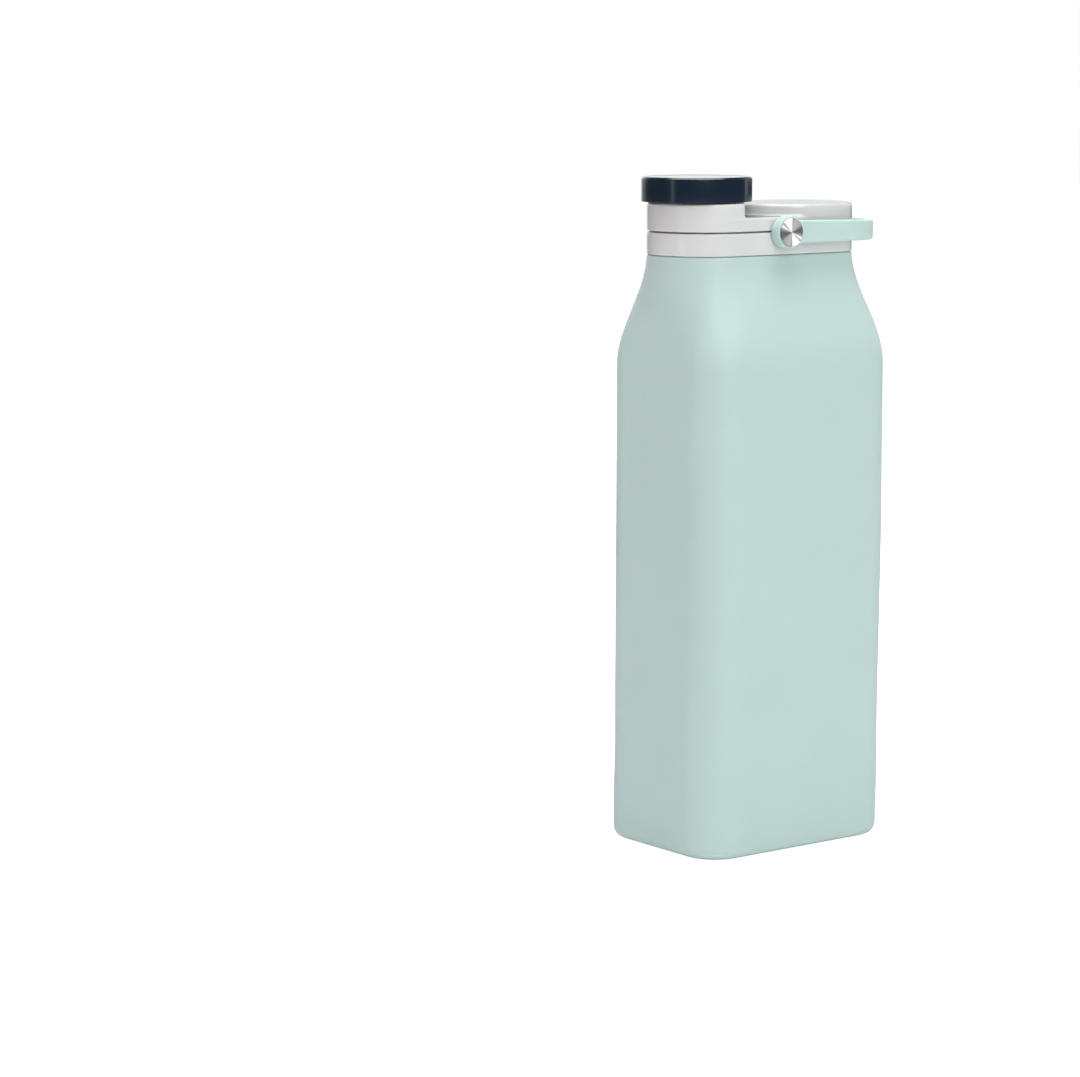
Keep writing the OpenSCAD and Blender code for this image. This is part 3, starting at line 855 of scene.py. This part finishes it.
def build_world():
    """White to the camera, a weak fill light, and a brighter far wall in reflections."""
    world = bpy.data.worlds.new("studio")
    SCENE.world = world
    world.use_nodes = True
    tree = world.node_tree
    tree.nodes.clear()
    output = node(tree, "ShaderNodeOutputWorld")
    white = node(tree, "ShaderNodeBackground", {"Color": (1, 1, 1, 1), "Strength": 1.0})
    soft = node(tree, "ShaderNodeBackground", {"Color": (1, 1, 1, 1), "Strength": 0.15})
    path = node(tree, "ShaderNodeLightPath")
    # how far a ray points away from the camera's side
    place = node(tree, "ShaderNodeTexCoord").outputs["Generated"]
    away = node(tree, "ShaderNodeVectorMath", {0: place, 1: (0.599, 0.801, 0.0)},
                operation="DOT_PRODUCT").outputs["Value"]
    mirror = node(tree, "ShaderNodeBackground", {
        "Color": (0.93, 1.0, 1.0, 1),
        "Strength": remap(tree, away, to=(0.15, 0.72), source=(0.55, 0.95))})
    unseen = mix_shader(tree, path.outputs["Is Glossy Ray"], soft.outputs[0], mirror.outputs[0])
    seen = mix_shader(tree, path.outputs["Is Camera Ray"], unseen, white.outputs[0])
    feed(tree, output, {0: seen})


# ------------------------------------------------------------------ lights, camera (metres)
PLAIN = (1, 1, 1)
AIM = Vector((0, 0, 0.1))
# name, azimuth (0 is -Y, 90 is -X), elevation, distance, (width, height), watts, colour,
# what it lights: "all", "diffuse" for no reflections, "glossy" for reflections only
LIGHTS = (
    ("top", 0, 89, 1.3, (1.2, 1.2), 23, PLAIN, "all"),
    ("key", 22, 30, 1.4, (0.7, 0.9), 6.6, PLAIN, "all"),
    ("front", 0, 20, 1.4, (0.7, 0.9), 0.7, PLAIN, "diffuse"),
    ("right", -36, 9, 1.4, (0.7, 0.7), 1.3, PLAIN, "diffuse"),
    ("disc_glint", -36, 9, 1.4, (0.7, 0.7), 15, PLAIN, "glossy"),
    ("cap_rim", 186, 8, 1.2, (0.7, 0.5), 0.35, (0.85, 1.0, 1.0), "glossy"),
    ("right_strip", -86, 9, 1.2, (0.25, 1.0), 0.5, PLAIN, "glossy"),
    ("left_tint", 95, 10, 1.2, (0.6, 0.9), 0.7, (1.0, 0.35, 0.5), "diffuse"),
    ("left_strip", 90, 12, 1.2, (0.12, 1.0), 0.5, PLAIN, "all"),
    ("back_left", 140, 15, 1.2, (0.7, 0.9), 0.8, (1.0, 0.82, 0.90), "diffuse"),
    ("back_right", -150, 20, 1.2, (0.7, 0.9), 1.2, PLAIN, "all"),
)
# lights seen only in the pieces whose names start so
SEEN_IN = {"disc_glint": "button_disc", "cap_rim": "cap_shell"}


def build_light(name, azimuth, elevation, distance, size, watts, color, lights):
    data = bpy.data.lights.new(name, "AREA")
    data.shape = "RECTANGLE"
    data.size, data.size_y = size
    data.energy = watts
    data.color = color
    light = bpy.data.objects.new(name, data)
    SCENE.collection.objects.link(light)
    a, e = math.radians(azimuth), math.radians(elevation)
    direction = Vector((-math.sin(a) * math.cos(e), -math.cos(a) * math.cos(e), math.sin(e)))
    light.location = direction * distance + AIM
    light.rotation_euler = (AIM - light.location).to_track_quat("-Z", "Y").to_euler()
    light.visible_camera = False
    light.visible_glossy = lights != "diffuse"
    light.visible_diffuse = lights != "glossy"
    if name in SEEN_IN:
        pieces = bpy.data.collections.new(name + "_pieces")
        for obj in SCENE.objects:
            if obj.name.startswith(SEEN_IN[name]):
                pieces.objects.link(obj)
        light.light_linking.receiver_collection = pieces


def build_camera():
    data = bpy.data.cameras.new("camera")
    camera = bpy.data.objects.new("camera", data)
    SCENE.collection.objects.link(camera)
    right = Vector((0.8007584, -0.5989869, -0.0007798)).normalized()
    forward = Vector((0.5929285, 0.7928426, -0.1408417)).normalized()
    up = right.cross(forward).normalized()
    right = forward.cross(up)
    pose = Matrix((right, up, -forward)).transposed().to_4x4()
    pose.translation = Vector((-0.692132, -0.812322, 0.249511))
    camera.matrix_world = pose
    data.sensor_fit = "HORIZONTAL"
    data.sensor_width = 36
    data.lens = 109.847467
    data.clip_start, data.clip_end = 0.01, 100
    SCENE.camera = camera


build_body()
build_collar()
build_lid()
build_strap()
build_cap()
build_button(-1, "button_disc_front", "button_front")
build_button(1, "button_disc_rear", "button_rear")
face_outwards()
finish_cad_nodes()
build_floor()
build_world()
for row in LIGHTS:
    build_light(*row)
build_camera()
SCENE.view_settings.view_transform = "Standard"
SCENE.view_settings.look = "None"
